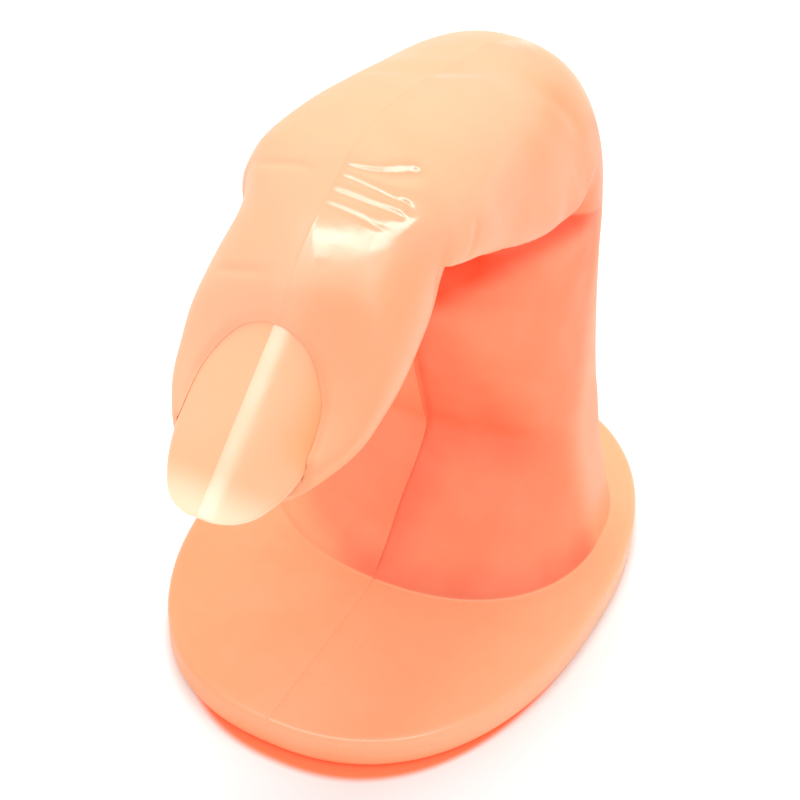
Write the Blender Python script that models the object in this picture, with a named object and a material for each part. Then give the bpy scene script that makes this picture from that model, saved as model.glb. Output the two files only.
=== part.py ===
"""A bent practice finger on an oval foot: two hollow half shells joined on the middle plane, and a nail
tip that slides into a slot under the cuticle. The finger points along -Y, +Z is up, and the seam
between the halves lies on x = 0."""
import math

import bmesh
import bpy
from mathutils import Matrix, Vector

# Driving sizes, in metres
HEIGHT = 0.0562
BASE_WIDTH = 0.0400
BASE_LENGTH = 0.0544
BASE_THICKNESS = 0.0034
BASE_ROUNDING = 0.0007
BASE_SET_BACK = 0.0026
WALL = 0.0016
SEAM_GAP = 0.0003
FIT_GAP = 0.0003
NAIL_WIDTH = 0.0120
NAIL_LENGTH = 0.0184
NAIL_ROOT = 0.0030
NAIL_THICKNESS = 0.0007
NAIL_ARCH = 0.0026
BOSS_DIAMETER = 0.0050
PEG_DIAMETER = 0.0026
PEG_LENGTH = 0.0030
OVERRUN = 0.0080

# Shapes without a size of their own
BASE_POWER = 2.3
BODY_POWER = 2.25
HOLLOW_START_SHARE = 0.20
NAIL_CREST_SHARE = 0.35
NAIL_SLOPE = math.radians(40.4)
SMOOTH_ANGLE = math.radians(38)

# Sections of the finger and column from the fingertip to the foot, as shares of the height: back (y, z),
# palm side (y, z), half width, and how far down from the back the section is widest
BODY_SHARES = (
    (-0.548, 0.632, -0.532, 0.608, 0.024, 0.46),
    (-0.540, 0.648, -0.514, 0.598, 0.052, 0.44),
    (-0.517, 0.684, -0.463, 0.594, 0.100, 0.42),
    (-0.458, 0.734, -0.379, 0.617, 0.146, 0.41),
    (-0.412, 0.784, -0.308, 0.645, 0.161, 0.42),
    (-0.378, 0.832, -0.252, 0.675, 0.166, 0.46),
    (-0.328, 0.886, -0.180, 0.710, 0.162, 0.49),
    (-0.278, 0.927, -0.110, 0.750, 0.156, 0.49),
    (-0.217, 0.963, -0.068, 0.760, 0.175, 0.48),
    (-0.152, 0.990, -0.045, 0.743, 0.183, 0.48),
    (-0.050, 0.996, -0.017, 0.708, 0.175, 0.50),
    (0.068, 0.974, 0.029, 0.690, 0.176, 0.56),
    (0.186, 0.943, 0.058, 0.682, 0.186, 0.61),
    (0.295, 0.916, 0.074, 0.676, 0.192, 0.65),
    (0.386, 0.871, 0.076, 0.667, 0.198, 0.65),
    (0.424, 0.788, 0.062, 0.647, 0.207, 0.59),
    (0.430, 0.680, 0.042, 0.615, 0.212, 0.54),
    (0.421, 0.573, 0.026, 0.562, 0.215, 0.50),
    (0.415, 0.445, 0.048, 0.445, 0.220, 0.50),
    (0.412, 0.328, 0.084, 0.328, 0.226, 0.50),
    (0.414, 0.272, 0.102, 0.272, 0.231, 0.50),
    (0.417, 0.222, 0.072, 0.222, 0.241, 0.50),
    (0.421, 0.174, 0.018, 0.174, 0.256, 0.50),
    (0.426, 0.124, -0.024, 0.124, 0.275, 0.50),
    (0.430, 0.088, -0.056, 0.088, 0.294, 0.50),
    (0.432, 0.060, -0.080, 0.060, 0.312, 0.50),
    (0.432, 0.022, -0.082, 0.022, 0.314, 0.50),
)

# Half outline of the nail tip from its hidden root to its free edge: share of length, share of half width
NAIL_SHARES = (
    (0.00, 0.40), (0.03, 0.54), (0.09, 0.68), (0.18, 0.81), (0.30, 0.91), (0.43, 0.98), (0.56, 1.00),
    (0.67, 0.98), (0.77, 0.92), (0.86, 0.81), (0.92, 0.67), (0.97, 0.44), (1.00, 0.14),
)

# Half outline of the window that shows the nail, from the cuticle forward, in the same shares
WINDOW_SHARES = (
    (0.000, 0.20), (0.010, 0.38), (0.032, 0.55), (0.075, 0.70), (0.140, 0.82), (0.230, 0.91),
    (0.330, 0.96), (0.440, 0.99), (0.560, 1.05), (0.700, 1.10),
)

# Middle of the nail's crest at the cuticle, and the pegs that line the halves up: shares of the height
CUTICLE_SHARES = (-0.386, 0.808)
PEG_SHARES = (
    (-0.055, 0.850),
    (0.240, 0.640),
    (0.215, 0.180),
)

BODY_AROUND = 40
BODY_STEPS = 3
HOLLOW_AROUND = 28
HOLLOW_STEPS = 2
BASE_AROUND = 72
NAIL_ACROSS = 14
NAIL_STEPS = 2
PEG_AROUND = 24

SHELL_COLOUR = (0.90, 0.49, 0.31, 1.0)
NAIL_COLOUR = (0.93, 0.72, 0.53, 1.0)


def clear_scene():
    """Remove every object that the new file starts with."""
    for item in list(bpy.data.objects):
        bpy.data.objects.remove(item, do_unlink=True)


def material(name, colour, roughness):
    """A plain plastic with its own colour and roughness."""
    made = bpy.data.materials.new(name)
    made.use_nodes = True
    shader = made.node_tree.nodes["Principled BSDF"]
    shader.inputs["Base Color"].default_value = colour
    shader.inputs["Roughness"].default_value = roughness
    shader.inputs["Metallic"].default_value = 0.0
    return made


def smooth_rows(rows, steps):
    """Fill a table in with rows on a smooth curve through the given ones."""
    filled = []
    last = len(rows) - 1
    for index in range(last):
        before = rows[max(index - 1, 0)]
        here = rows[index]
        there = rows[index + 1]
        after = rows[min(index + 2, last)]
        for step in range(steps):
            t = step / steps
            row = []
            for a, b, c, d in zip(before, here, there, after):
                bend = (2 * a - 5 * b + 4 * c - d) * t + (3 * b - a - 3 * c + d) * t * t
                row.append(b + ((c - a) + bend) * t / 2)
            filled.append(tuple(row))
    filled.append(rows[last])
    return filled


def power_circle(count, power):
    """Points of a rounded outline with half sizes of one, counted round from +X."""
    points = []
    for index in range(count):
        angle = 2 * math.pi * index / count
        across = math.cos(angle)
        along = math.sin(angle)
        points.append((
            math.copysign(abs(across) ** (2 / power), across),
            math.copysign(abs(along) ** (2 / power), along),
        ))
    return points


def new_object(name, mesh):
    """Put a finished mesh in the scene under its name."""
    bmesh.ops.recalc_face_normals(mesh, faces=mesh.faces)
    data = bpy.data.meshes.new(name)
    mesh.to_mesh(data)
    mesh.free()
    made = bpy.data.objects.new(name, data)
    bpy.context.scene.collection.objects.link(made)
    return made


def loft(name, rings):
    """Bridge closed rings of points into one closed body."""
    mesh = bmesh.new()
    loops = []
    for ring in rings:
        corners = [mesh.verts.new(point) for point in ring]
        loops.append([
            mesh.edges.new((corners[index], corners[(index + 1) % len(corners)]))
            for index in range(len(corners))
        ])
    for first, second in zip(loops, loops[1:]):
        bmesh.ops.bridge_loops(mesh, edges=first + second)
    for loop in (loops[0], loops[-1]):
        bmesh.ops.edgeloop_fill(mesh, edges=loop)
    return new_object(name, mesh)


def cylinder_along_x(name, diameter, start, end, y, z):
    """A round bar along X between two ends."""
    mesh = bmesh.new()
    place = Matrix.Translation(((start + end) / 2, y, z)) @ Matrix.Rotation(math.pi / 2, 4, 'Y')
    bmesh.ops.create_cone(
        mesh, cap_ends=True, segments=PEG_AROUND, radius1=diameter / 2, radius2=diameter / 2,
        depth=end - start, matrix=place)
    return new_object(name, mesh)


def combine(body, tool, operation):
    """Join, cut or intersect two closed bodies, and remove the second one."""
    tool.hide_render = True
    tool.display_type = 'WIRE'
    step = body.modifiers.new("combine", 'BOOLEAN')
    step.operation = operation
    step.solver = 'EXACT'
    step.object = tool
    seen = body.evaluated_get(bpy.context.evaluated_depsgraph_get())
    data = bpy.data.meshes.new_from_object(seen)
    body.modifiers.clear()
    body.data = data
    bpy.data.objects.remove(tool, do_unlink=True)
    return body


def body_rings(inset, around, steps, first_share, lowest):
    """Rings of the finger and column, drawn in by the inset, from a share of the way along the table
    to the lowest level."""
    outline = power_circle(around, BODY_POWER)
    rows = BODY_SHARES[int(first_share * len(BODY_SHARES)):]
    rings = []
    for back_y, back_z, palm_y, palm_z, half, spread in smooth_rows(rows, steps):
        back = Vector((0, back_y, back_z)) * HEIGHT
        palm = Vector((0, palm_y, palm_z)) * HEIGHT
        if palm.z < lowest:
            continue
        inward = (palm - back).normalized() * inset
        back += inward
        palm -= inward
        middle = back.lerp(palm, spread)
        width = half * HEIGHT - inset
        ring = []
        for across, up in outline:
            reach = (back - middle) * up if up > 0 else (middle - palm) * up
            ring.append(middle + reach + Vector((across * width, 0, 0)))
        rings.append(ring)
    return rings


def base_plate():
    """The oval foot, with its edges rounded."""
    outline = power_circle(BASE_AROUND, BASE_POWER)
    eased = BASE_ROUNDING * (1 - math.sqrt(0.5))
    profile = (
        (0, BASE_ROUNDING),
        (eased, eased),
        (BASE_ROUNDING, 0),
        (BASE_THICKNESS - BASE_ROUNDING, 0),
        (BASE_THICKNESS - eased, eased),
        (BASE_THICKNESS, BASE_ROUNDING),
    )
    rings = []
    for level, inset in profile:
        wide = BASE_WIDTH / 2 - inset
        deep = BASE_LENGTH / 2 - inset
        rings.append([Vector((x * wide, BASE_SET_BACK + y * deep, level)) for x, y in outline])
    return loft("base_plate", rings)


def nail_fall(x):
    """How far the nail's top falls below its crest at a distance from the middle."""
    share = abs(x) / (NAIL_WIDTH / 2)
    return NAIL_ARCH * (share * share * (1 - NAIL_CREST_SHARE) + share * NAIL_CREST_SHARE)


def nail_frame():
    """The cuticle's middle point, the way along the nail to its free edge, and the way out of it."""
    cuticle = Vector((0, CUTICLE_SHARES[0], CUTICLE_SHARES[1])) * HEIGHT
    along = Vector((0, -math.cos(NAIL_SLOPE), -math.sin(NAIL_SLOPE)))
    outward = Vector((0, -math.sin(NAIL_SLOPE), math.cos(NAIL_SLOPE)))
    return cuticle, along, outward


def arched_body(name, rows, low, high, level_top):
    """A body along the nail: rows of distance and half width, between two heights over the nail's top.
    Its upper side follows the nail, or is level where level_top is set."""
    cuticle, along, outward = nail_frame()
    rings = []
    for distance, half in rows:
        here = cuticle + along * distance
        places = [half * (2 * index / NAIL_ACROSS - 1) for index in range(NAIL_ACROSS + 1)]
        ring = []
        for x in places:
            rise = high if level_top else high - nail_fall(x)
            ring.append(here + outward * rise + Vector((x, 0, 0)))
        for x in reversed(places):
            ring.append(here + outward * (low - nail_fall(x)) + Vector((x, 0, 0)))
        rings.append(ring)
    return loft(name, rings)


def nail_rows(gap):
    """Distances from the cuticle and half widths of the nail, grown by the gap."""
    rows = []
    for along_share, wide_share in smooth_rows(NAIL_SHARES, NAIL_STEPS):
        rows.append((
            along_share * (NAIL_LENGTH + 2 * gap) - NAIL_ROOT - gap,
            wide_share * NAIL_WIDTH / 2 + gap,
        ))
    return rows


def nail_tip():
    """The arched nail with a fine crest along its middle."""
    return arched_body("nail_tip", nail_rows(0), -NAIL_THICKNESS, 0, False)


def nail_slot():
    """The space the nail needs to slide in from the front."""
    rows = nail_rows(FIT_GAP)
    widest = max(half for distance, half in rows)
    rows = [row for row in rows if row[0] < NAIL_LENGTH / 2 - NAIL_ROOT]
    rows.append((NAIL_LENGTH / 2, widest))
    rows.append((NAIL_LENGTH + OVERRUN, widest))
    return arched_body("nail_slot", rows, -NAIL_THICKNESS - FIT_GAP, FIT_GAP, False)


def nail_window():
    """The opening over the nail, from the cuticle forward."""
    rows = [
        (along_share * NAIL_LENGTH, wide_share * NAIL_WIDTH / 2)
        for along_share, wide_share in smooth_rows(WINDOW_SHARES, NAIL_STEPS)
    ]
    rows.append((NAIL_LENGTH + OVERRUN, WINDOW_SHARES[-1][1] * NAIL_WIDTH / 2))
    return arched_body("nail_window", rows, -NAIL_THICKNESS / 2, OVERRUN, True)


def half_space(name, sign):
    """A block over one side of the seam."""
    near = sign * SEAM_GAP / 2
    far = sign * (BASE_WIDTH / 2 + OVERRUN)
    front = -HEIGHT
    back = HEIGHT
    low = -OVERRUN
    high = HEIGHT + OVERRUN
    rings = [
        [Vector((x, front, low)), Vector((x, back, low)), Vector((x, back, high)), Vector((x, front, high))]
        for x in (near, far)
    ]
    return loft(name, rings)


def body_hollow():
    """The space inside the finger and column, parted round the bosses that carry the pegs."""
    hollow = loft("body_hollow", body_rings(
        WALL, HOLLOW_AROUND, HOLLOW_STEPS, HOLLOW_START_SHARE, BASE_THICKNESS))
    for y_share, z_share in PEG_SHARES:
        boss = cylinder_along_x(
            "boss", BOSS_DIAMETER, -BASE_WIDTH / 2, BASE_WIDTH / 2, y_share * HEIGHT, z_share * HEIGHT)
        combine(hollow, boss, 'DIFFERENCE')
    return hollow


def half_shell(name, sign):
    """One hollow half of the finger, column and base, on its own side of the seam."""
    body = loft(name, body_rings(0, BODY_AROUND, BODY_STEPS, 0, 0))
    combine(body, base_plate(), 'UNION')
    combine(body, half_space("side", sign), 'INTERSECT')
    seat = nail_slot()
    combine(seat, nail_window(), 'UNION')
    combine(body, seat, 'DIFFERENCE')
    combine(body, body_hollow(), 'DIFFERENCE')
    return body


def build():
    """Make the two half shells and the nail tip."""
    clear_scene()
    shell_plastic = material("flesh_plastic", SHELL_COLOUR, 0.30)
    nail_plastic = material("nail_plastic", NAIL_COLOUR, 0.22)
    left = half_shell("left_half_shell", -1)
    right = half_shell("right_half_shell", 1)
    for y_share, z_share in PEG_SHARES:
        y = y_share * HEIGHT
        z = z_share * HEIGHT
        combine(left, cylinder_along_x("peg", PEG_DIAMETER, -PEG_LENGTH, PEG_LENGTH, y, z), 'UNION')
        socket = cylinder_along_x(
            "socket", PEG_DIAMETER + 2 * FIT_GAP, -PEG_LENGTH, PEG_LENGTH + FIT_GAP, y, z)
        combine(right, socket, 'DIFFERENCE')
    nail = nail_tip()
    pieces = ((left, shell_plastic), (right, shell_plastic), (nail, nail_plastic))
    ends = [corner.co.y for piece, finish in pieces for corner in piece.data.vertices]
    centring = Matrix.Translation((0, -(min(ends) + max(ends)) / 2, 0))
    for piece, finish in pieces:
        piece.data.transform(centring)
        piece.data.name = piece.name
        piece.data.materials.clear()
        piece.data.materials.append(finish)
        piece.data.shade_smooth()
        piece.data.set_sharp_from_angle(angle=SMOOTH_ANGLE)
    seat = centring @ nail_frame()[0]
    nail.data.transform(Matrix.Translation(-seat))
    nail.location = seat


build()
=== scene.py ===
import math

import bmesh
import bpy
import numpy as np
from mathutils import Matrix, Vector
from mathutils.bvhtree import BVHTree


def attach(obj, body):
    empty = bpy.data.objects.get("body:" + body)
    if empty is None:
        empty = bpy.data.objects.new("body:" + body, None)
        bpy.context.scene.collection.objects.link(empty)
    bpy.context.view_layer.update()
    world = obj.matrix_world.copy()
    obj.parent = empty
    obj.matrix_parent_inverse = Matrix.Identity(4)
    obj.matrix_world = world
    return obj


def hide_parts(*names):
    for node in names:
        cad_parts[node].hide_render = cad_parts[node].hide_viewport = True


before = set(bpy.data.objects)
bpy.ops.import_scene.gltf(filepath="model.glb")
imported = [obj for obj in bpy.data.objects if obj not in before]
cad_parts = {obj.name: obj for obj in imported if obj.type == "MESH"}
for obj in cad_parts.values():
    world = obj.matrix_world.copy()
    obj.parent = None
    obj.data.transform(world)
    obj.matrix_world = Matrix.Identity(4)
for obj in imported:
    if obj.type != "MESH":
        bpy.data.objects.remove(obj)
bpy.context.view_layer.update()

bl_info = {
    "name": "Practice Finger",
    "version": (1, 0, 0),
    "blender": (4, 5, 0),
    "location": "3D View > Sidebar > Practice Finger",
    "description": "Makes a moulded practice finger in two half shells with a removable nail tip",
    "category": "Add Mesh",
}

MM = 0.001

# The section table has its zero this far behind the frame's origin, and the finger points to -Y
TABLE_SHIFT = 1.81 * MM

# Sections of the finger and column from the fingertip to the foot: back (y, z), palm side (y, z) and half
# width as shares of the height, and the share of the way from back to palm side where each is widest
BODY_SHARES = np.array((
    (-0.548, 0.632, -0.532, 0.608, 0.024, 0.46),
    (-0.540, 0.648, -0.514, 0.598, 0.052, 0.44),
    (-0.517, 0.684, -0.463, 0.594, 0.100, 0.42),
    (-0.458, 0.734, -0.379, 0.617, 0.146, 0.41),
    (-0.412, 0.784, -0.308, 0.645, 0.161, 0.42),
    (-0.378, 0.832, -0.252, 0.675, 0.166, 0.46),
    (-0.328, 0.886, -0.180, 0.710, 0.162, 0.49),
    (-0.278, 0.927, -0.110, 0.750, 0.156, 0.49),
    (-0.217, 0.963, -0.068, 0.760, 0.175, 0.48),
    (-0.152, 0.990, -0.045, 0.743, 0.183, 0.48),
    (-0.050, 0.996, -0.017, 0.708, 0.181, 0.50),
    (0.068, 0.974, 0.029, 0.690, 0.185, 0.56),
    (0.186, 0.943, 0.058, 0.682, 0.191, 0.61),
    (0.295, 0.916, 0.074, 0.676, 0.192, 0.65),
    (0.386, 0.871, 0.076, 0.667, 0.198, 0.65),
    (0.424, 0.788, 0.062, 0.647, 0.207, 0.59),
    (0.430, 0.680, 0.042, 0.615, 0.212, 0.54),
    (0.421, 0.573, 0.026, 0.562, 0.215, 0.50),
    (0.415, 0.445, 0.048, 0.445, 0.220, 0.50),
    (0.412, 0.328, 0.084, 0.328, 0.226, 0.50),
    (0.414, 0.272, 0.102, 0.272, 0.231, 0.50),
    (0.417, 0.222, 0.072, 0.222, 0.241, 0.50),
    (0.421, 0.174, 0.018, 0.174, 0.256, 0.50),
    (0.426, 0.124, -0.024, 0.124, 0.272, 0.50),
    (0.430, 0.088, -0.056, 0.088, 0.284, 0.50),
    (0.432, 0.060, -0.080, 0.060, 0.294, 0.50),
    (0.432, 0.022, -0.082, 0.022, 0.295, 0.50),
))

# Half outline of the window that shows the nail, from the cuticle forward: share of the nail's length,
# share of its half width
WINDOW_SHARES = np.array((
    (-0.038, 0.12), (-0.028, 0.24), (-0.012, 0.38), (0.020, 0.53), (0.075, 0.68), (0.150, 0.82),
    (0.235, 0.92), (0.350, 0.96), (0.430, 0.965), (0.485, 0.975), (0.515, 1.00), (0.545, 1.07),
    (0.600, 1.15), (0.680, 1.19), (1.100, 1.20),
))

# Half outline of the nail tip from its hidden root to its free edge, in the same shares
NAIL_SHARES = (
    (0.00, 0.40), (0.03, 0.54), (0.09, 0.68), (0.18, 0.82), (0.30, 0.92), (0.43, 0.98), (0.55, 0.995),
    (0.65, 0.98), (0.72, 0.94), (0.79, 0.875), (0.85, 0.79), (0.91, 0.675), (0.96, 0.51), (0.99, 0.31),
    (1.00, 0.12),
)
# Middle of the cuticle, (y, z), as shares of the height
CUTICLE_SHARES = (-0.386, 0.808)
# The cut for the nail is nowhere wider than this share of the nail
WINDOW_LIMIT = 0.97

# Rows, columns and samples
BODY_ROWS = 520
TIP_ROWS = 9
FILLET_ROWS = 5
TOP_ROWS = 30
RIM_ROWS = 6
RIM_SIDE_ROWS = 2
UNDER_ROWS = 12
RING_INNER = 130
FINE_PLACES = 4000
LIP_PLACES = 240
CREASE_PLACES = 400
OUTLINE_PLACES = 120
SEAT_ROWS = 60
SEAT_ACROSS = 48
WINDOW_ROWS = 90
NAIL_ROWS = 150
NAIL_COLUMNS = 101

# Distances from the seam of the skin's first columns, and how much the other columns crowd on the flank
EDGE_PLACES = np.array((0, 0.02, 0.05, 0.09, 0.14, 0.20, 0.28)) * MM
FLANK_CROWDING = 0.4
# How much the rows crowd over the wrinkles, round which section, and over how many sections
ROW_CROWDING = 0.9
CROWDED_SECTION = 7.6
CROWDED_SPAN = 2.4

# What counts as nothing, how close points are merged, and a distance beyond everything
TINY_AREA = 1e-12
TINY_SQUARE = 1e-18
MERGED = 1e-7
SLIVER = 1e-8
NAIL_MERGED = 1e-6
FAR_OFF = 1.0

# Edges that bend more than this are sharp
SKIN_SHARP = math.radians(32)
NAIL_SHARP = math.radians(12)

# Forms of the moulding: the round fingertip, the foot's fillet, and the step and hollow of the column
TIP_BULGE = 0.45 * MM
FILLET_LEAN = math.radians(30)
STEP_HEIGHT = 0.10 * MM
STEP_WIDTH = 3.4 * MM
HOLLOW_DEPTH = 0.5 * MM
HOLLOW_TOP = (3.2 * MM, 31.0 * MM)
HOLLOW_RIGHT = (10.6 * MM, 14.0 * MM)
HOLLOW_LOW = (0.0, 14.6 * MM)
HOLLOW_EDGE = (-0.6 * MM, 3.2 * MM)
HOLLOW_FLOOR = (-2.5 * MM, 4.5 * MM)
# The column's front, from none to full: how far the skin faces forward, its lower end, top and depth
FRONT_FACING = (0.2, 0.7)
FRONT_LOW = (3.6 * MM, 5.0 * MM)
FRONT_TOP = (40 * MM, 30 * MM)
FRONT_DEPTH = (-6 * MM, -3 * MM)

# The flash along the seam: on the finger, on the foot, and the heights where it changes and starts
FLASH_HEIGHT = 0.03 * MM
FOOT_FLASH_HEIGHT = 0.09 * MM
FLASH_WIDTH = 0.13 * MM
FLASH_CHANGE = (6 * MM, 4 * MM)
FLASH_START = (0.5 * MM, 1.2 * MM)

# The skin's fold round the nail, and the part of the nail's length and depth that it looks at
FOLD_REACH = 0.8 * MM
FOLD_LIP = 0.03 * MM
FOLD_HEIGHT = 0.30 * MM
FOLD_RISE = 0.55
FOLD_BLEND = 0.9 * MM
FOLD_MIDDLE = 6 * MM
FOLD_SPAN = 14 * MM
FOLD_DEEPEST = -4 * MM
# The skin's dip under the nail's front: where along the nail it sets in, its reach and its play
DIP_RUN = (8.0 * MM, 10.4 * MM)
DIP_REACH = 1.8 * MM
DIP_PLAY = 0.08 * MM
# The nail's seat keeps its width from here on, and runs out past the nail
SEAT_TAPER = 9.5 * MM
SEAT_OVERRUN = 8 * MM

# The nail's edge: powers of the rounding on its sides, free edge and root, and how it thins to the front
NAIL_ROUNDING = (60.0, 40.0, 60.0)
NAIL_THINNING = 0.45
THINNING_POWER = 3.0

# Roughness on the foot, the column, the flanks and the top of the finger, and the heights between them
MATT_SHEENS = (0.40, 0.60, 0.45, 0.45)
GLOSSY_SHEENS = (0.30, 0.60, 0.36, 0.14)
NAIL_SHEENS = (0.20, 0.20, 0.20, 0.20)
FOOT_SHEEN = (3.5 * MM, 3.4 * MM)
COLUMN_SHEEN = (40 * MM, 36 * MM)
# Where the top's gloss begins, and its part that is less glossy
GLOSS_LEVELS = (49.2 * MM, 50.0 * MM)
GLOSS_LEAN = 0.28
GLOSS_START_LEAN = 0.76
GLOSS_START = (39.3 * MM, 39.8 * MM)
DULL_PART = 0.07
DULL_UP = (52.2 * MM, 52.9 * MM)
DULL_ACROSS = (4.5 * MM, 2.0 * MM)

# The plastic's clouds, rare specks, patches of gloss and fine grain: noise is scale and detail
PLASTIC_IOR = 1.46
CLOUD_NOISE = (160.0, 3.0)
CLOUD_RANGE = (0.32, 0.68)
CLOUD_SHARE = 0.10
CLOUD_PALENESS = (1.35, 1.6)
SPECK_SCALE = 230.0
SPECK_RARITY = (0.80, 0.805)
SPECK_SIZE = (0.02, 0.035)
SPECK_SHARE = 0.45
SPECK_COLOUR = (0.42, 0.16, 0.07, 1.0)
PATCH_NOISE = (420.0, 4.0)
PATCH_RANGE = (0.25, 0.75)
PATCH_SHEEN = (0.88, 1.15)
GRAIN_NOISE = (1500.0, 3.0)
GRAIN_STRENGTH = 0.12
GRAIN_DEPTH = 0.03 * MM

# Painted shade: deeper colours, as shares of the flesh's green and blue, where shade falls on finger and
# nail
FLANK_DEPTH = (0.87, 0.76)
REAR_FLANK_SHADE_DEPTH = (0.78, 0.64)
KNUCKLE_EDGE_SHADE_DEPTH = (0.62, 0.45)
FOOT_SHADE_LEFT = (0.76, 0.61)
FOOT_SHADE_RIGHT = (0.95, 0.86)
COLUMN_SHADE_DEPTH = (0.58, 0.47)
COLUMN_EDGE_SHADE_DEPTH = (0.88, 0.92)
DARK_SHADE_DEPTH = (0.44, 0.36)
UNDERCUT_SHADE_DEPTH = (0.20, 0.07)
NAIL_FLANK_SHADE_DEPTH = (0.78, 0.55)
# The nail's own milky colour at its free edge
FREE_EDGE = (1.0, 0.76, 0.52, 1.0)

# Where each painted shade sets in, from none to full: across (x), back (y) and up (z)
FLANK = ((0.0, 3.5 * MM), (23 * MM, 15 * MM), (52.5 * MM, 48.5 * MM))
REAR_FLANK = (None, (-8 * MM, 2 * MM), None)
KNUCKLE_EDGE = ((8.6 * MM, 9.6 * MM), (17 * MM, 20 * MM), (38 * MM, 41 * MM))
FOOT_PAINT = (None, None, (3.75 * MM, 3.6 * MM))
COLUMN = (None, (-6 * MM, -3 * MM), (46 * MM, 37 * MM))
COLUMN_EDGE = ((9 * MM, 12 * MM), None, (38 * MM, 30 * MM))
BESIDE_SEAM = ((5.0 * MM, 0.3 * MM), None, (18 * MM, 13 * MM))
COLUMN_LOW = ((-7.0 * MM, -1.5 * MM), None, (6.8 * MM, 3.9 * MM))
# The same along one direction, or along one that leans by a share
FOOT_ACROSS = (-14 * MM, 12 * MM)
COLUMN_FOOT = (3.45 * MM, 3.6 * MM)
NEAR_FOOT = (13 * MM, 9 * MM)
RIGHT_HALF = (0.0, 0.05 * MM)
COLUMN_LEAN = 0.2
COLUMN_SIDE = (12.5 * MM, 8.5 * MM)
COLUMN_EDGE_SIDE = (8.5 * MM, 12.5 * MM)
COLUMN_EDGE_FOOT = (5 * MM, 8 * MM)
LEFT_FADE_LEAN = 0.35
LEFT_FADE = (0.8 * MM, 4.4 * MM)
HOLLOW_LEAN = 0.435
HOLLOW_ACROSS = (20.5 * MM, 13.5 * MM)
HOLLOW_UP = (11.5 * MM, 15.5 * MM)
LIP_SLOPE = 0.33
LIP_LEVEL = 44.4 * MM
UNDERCUT_BELOW = (0.1 * MM, 0.5 * MM)
UNDERCUT_TAPER = 0.93
UNDERCUT_REACH = (14.2 * MM, 10.8 * MM)
UNDERCUT_FRONT = (-6.5 * MM, -4.5 * MM)
UNDERCUT_REAR = (19 * MM, 13 * MM)
NAIL_FLANK = (2.2 * MM, 5.6 * MM)
NAIL_FLANK_END = (-3.5 * MM, -7.5 * MM)
# Where the nail's own milky free edge sets in
TIP_FADE = (-3.0 * MM, 0.7 * MM)

# The edge where the bent finger overhangs the column: x, y, z and how far it stands out, in millimetres
LIP = np.array((
    (9.2, -9.6, 48.2, 0.5), (9.6, -7.3, 47.6, 0.55), (9.8, -4.9, 46.9, 0.55), (10.2, -0.9, 44.9, 0.65),
    (10.6, 4.2, 42.8, 0.9), (11.0, 8.5, 41.75, 0.75), (11.3, 12.1, 41.2, 0.5), (11.4, 14.8, 41.7, 0.2),
    (11.5, 17.5, 43.0, 0.0),
))
# The lip's reach upwards, its change to the groove below it, its fades, and the corner of the skin it moves
LIP_WIDTH = 3.2 * MM
LIP_BLEND = (-0.4 * MM, 0.3 * MM)
LIP_ACROSS = (5 * MM, 7.5 * MM)
LIP_FADE_PLACES = (16, 60)
LIP_CORNER = (4.5 * MM, -14 * MM, 34 * MM)
# The groove under the lip: its depth, how far below the lip it is deepest, and its width
UNDERCUT = 1.25 * MM
UNDERCUT_DROP = 0.9 * MM
UNDERCUT_WIDTH = 1.35 * MM

# Spacing of the points that a crease is pressed along, their least number, and their run past the seam
GUIDE_STEP = 0.1 * MM
GUIDE_LEAST = 4
GUIDE_OVERRUN = 4 * MM

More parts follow.
